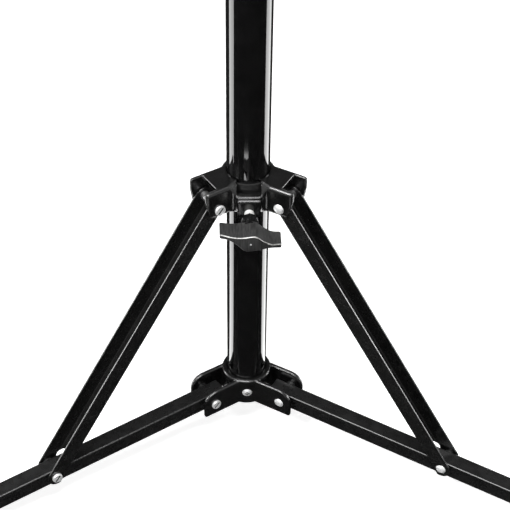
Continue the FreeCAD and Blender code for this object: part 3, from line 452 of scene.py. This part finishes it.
def knob(name, node, body, materials):
    neck_slot = 1
    highlight_slot = 2
    low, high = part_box(node)
    middle = (low[2] + high[2]) / 2
    side_play = 0.0003
    blade_depth = 0.023
    neck_root = 0.003
    highlight_upwards = 0.45
    highlight_forwards = 0.3
    front = low[1]
    back = front + blade_depth
    work = bmesh.new()
    rounds = hand_blade(work, (high[0] - low[0]) / 2 - side_play, front, back, middle)
    for item in rounds:
        # Rounded faces that face up and forwards get the pale painted highlight.
        if item.normal.z > highlight_upwards and -item.normal.y > highlight_forwards:
            item.material_index = highlight_slot
    for item in ribbed_neck(work, high[1], back - neck_root, middle):
        item.material_index = neck_slot
    mesh = bpy.data.meshes.new(name)
    work.to_mesh(mesh)
    work.free()
    for material in materials:
        mesh.materials.append(material)
    piece = bpy.data.objects.new(name, mesh)
    bpy.context.scene.collection.objects.link(piece)
    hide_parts(node)
    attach(piece, body)


knob_finishes = [knob_grey(), neck_black(), highlight_edge_grey()]
knob("spider_hand_knob", "spider_knob", "collar_knob", knob_finishes)
knob("mid_hand_knob", "mid_knob", "top_clamp", knob_finishes)
knob("lock_hand_knob", "lock_knob", "lock", knob_finishes)


# ---- Studio
# A white floor that keeps a faint shadow, soft boxes at both sides, above and at the front left.
# Level cards, which the gloss alone sees, draw the black and the bright stripes on the tubes.
def flat_panel(name, corners, height):
    mesh = bpy.data.meshes.new(name)
    sheet = bmesh.new()
    sheet.faces.new([sheet.verts.new((x, y, height)) for x, y in corners])
    sheet.to_mesh(mesh)
    sheet.free()
    panel = bpy.data.objects.new(name, mesh)
    bpy.context.scene.collection.objects.link(panel)
    return panel


def background_share(tree, seen_strength, other_strength):
    """One strength for rays that show the background, another for the light it gives."""
    path = tree.nodes.new("ShaderNodeLightPath")
    seen = path.outputs["Is Camera Ray"]
    for kind in ("Is Glossy Ray", "Is Transmission Ray"):
        either = tree.nodes.new("ShaderNodeMath")
        either.operation = "MAXIMUM"
        tree.links.new(seen, either.inputs[0])
        tree.links.new(path.outputs[kind], either.inputs[1])
        seen = either.outputs[0]
    strength = tree.nodes.new("ShaderNodeMapRange")
    strength.inputs["To Min"].default_value = other_strength
    strength.inputs["To Max"].default_value = seen_strength
    tree.links.new(seen, strength.inputs["Value"])
    return strength.outputs["Result"]


def white_floor():
    material = bpy.data.materials.new("studio_floor_white")
    material.use_nodes = True
    tree = material.node_tree
    tree.nodes.clear()
    diffuse = tree.nodes.new("ShaderNodeBsdfDiffuse")
    diffuse.inputs["Color"].default_value = (0.8, 0.8, 0.8, 1)
    glow = tree.nodes.new("ShaderNodeEmission")
    share = background_share(tree, seen_strength=0.78, other_strength=0.0)
    tree.links.new(share, glow.inputs["Strength"])
    both = tree.nodes.new("ShaderNodeAddShader")
    tree.links.new(diffuse.outputs[0], both.inputs[0])
    tree.links.new(glow.outputs[0], both.inputs[1])
    output = tree.nodes.new("ShaderNodeOutputMaterial")
    tree.links.new(both.outputs[0], output.inputs["Surface"])
    return material


reach = 30
floor = flat_panel("studio_floor", [(-reach, -reach), (reach, -reach), (reach, reach), (-reach, reach)], 0)
floor.data.materials.append(white_floor())


def gloss_card(name, start, end, near, far, height, radiance):
    """A level ring sector between two azimuths in degrees, seen in the gloss alone."""
    steps = 16
    turns = [math.radians(start + (end - start) * i / steps) for i in range(steps + 1)]
    corners = [(near * math.cos(t), near * math.sin(t)) for t in turns]
    corners += [(far * math.cos(t), far * math.sin(t)) for t in reversed(turns)]
    card = flat_panel(name, corners, height)
    card.visible_camera = False
    card.visible_diffuse = False
    card.visible_transmission = False
    card.visible_volume_scatter = False
    card.visible_shadow = False
    material = bpy.data.materials.new(name)
    material.use_nodes = True
    tree = material.node_tree
    tree.nodes.clear()
    shine = tree.nodes.new("ShaderNodeEmission")
    shine.inputs["Strength"].default_value = radiance
    output = tree.nodes.new("ShaderNodeOutputMaterial")
    tree.links.new(shine.outputs[0], output.inputs["Surface"])
    card.data.materials.append(material)


dark_height = 0.0006
bright_height = 0.0012
gloss_card("dark_flag_card", 0, 360, near=0.0, far=1.3, height=dark_height, radiance=0.05)
gloss_card("dark_flag_back", 20, 160, near=0.7, far=6.0, height=1.5, radiance=0.12)
gloss_card("bright_card_left", 154, 187, near=0.03, far=1.1, height=bright_height, radiance=6)
gloss_card("bright_card_right", -2, 36, near=0.03, far=1.1, height=bright_height, radiance=6)
gloss_card("bright_card_front", 247, 268, near=0.4, far=0.515, height=bright_height, radiance=6)
gloss_card("bright_card_above", 195, 285, near=0.5, far=2.2, height=2.2, radiance=18)

world = bpy.data.worlds.new("studio_world")
bpy.context.scene.world = world
world.use_nodes = True
backdrop = world.node_tree.nodes["Background"]
backdrop.inputs["Color"].default_value = (1, 1, 1, 1)
share = background_share(world.node_tree, seen_strength=0.85, other_strength=0.15)
world.node_tree.links.new(share, backdrop.inputs["Strength"])


def soft_box(name, place, target, width, height, watts):
    lamp = bpy.data.lights.new(name, "AREA")
    lamp.shape = "RECTANGLE"
    lamp.size = width
    lamp.size_y = height
    lamp.energy = watts
    box = bpy.data.objects.new(name, lamp)
    bpy.context.scene.collection.objects.link(box)
    box.location = place
    box.rotation_euler = (Vector(target) - Vector(place)).to_track_quat("-Z", "Y").to_euler()
    box.visible_camera = False
    return box


mid_height = (0, 0, 0.4)
collar_height = (0, 0, 0.3)
soft_box("soft_box_left", (-1.8, 0.5, 1.2), mid_height, width=0.8, height=2.0, watts=9)
soft_box("soft_box_right", (1.8, 0.5, 1.2), mid_height, width=0.8, height=2.0, watts=5)
for side, x in (("left", -1.86), ("right", 1.86)):
    strip = soft_box("gloss_strip_" + side, (x, 0.4, 0.35), collar_height, width=0.6, height=0.5, watts=20)
    strip.visible_diffuse = False
soft_box("soft_box_above", (0, -0.45, 2.6), collar_height, width=1.2, height=0.8, watts=42)
soft_box("soft_box_key", (-1.35, -0.85, 1.75), collar_height, width=0.5, height=0.35, watts=22)


# ---- Camera
# It looks down at the sliding collar and the hub from in front, from about the height of the
# lowered stand's spigot. Around them it takes in the struts and the inner parts of the legs.
camera_data = bpy.data.cameras.new("camera")
camera_data.sensor_width = 36
camera_data.lens = 83.44
camera = bpy.data.objects.new("camera", camera_data)
bpy.context.scene.collection.objects.link(camera)
turned_right = math.radians(2.57)
looks_down = math.radians(39.24)
rolled = math.radians(0.80)
place = Matrix.Translation((-0.0324, -0.8853, 0.9305))
yaw = Matrix.Rotation(-turned_right, 4, "Z")
pitch = Matrix.Rotation(math.pi / 2 - looks_down, 4, "X")
roll = Matrix.Rotation(rolled, 4, "Z")
camera.matrix_world = place @ yaw @ pitch @ roll
bpy.context.scene.camera = camera
bpy.context.scene.view_settings.view_transform = "Standard"
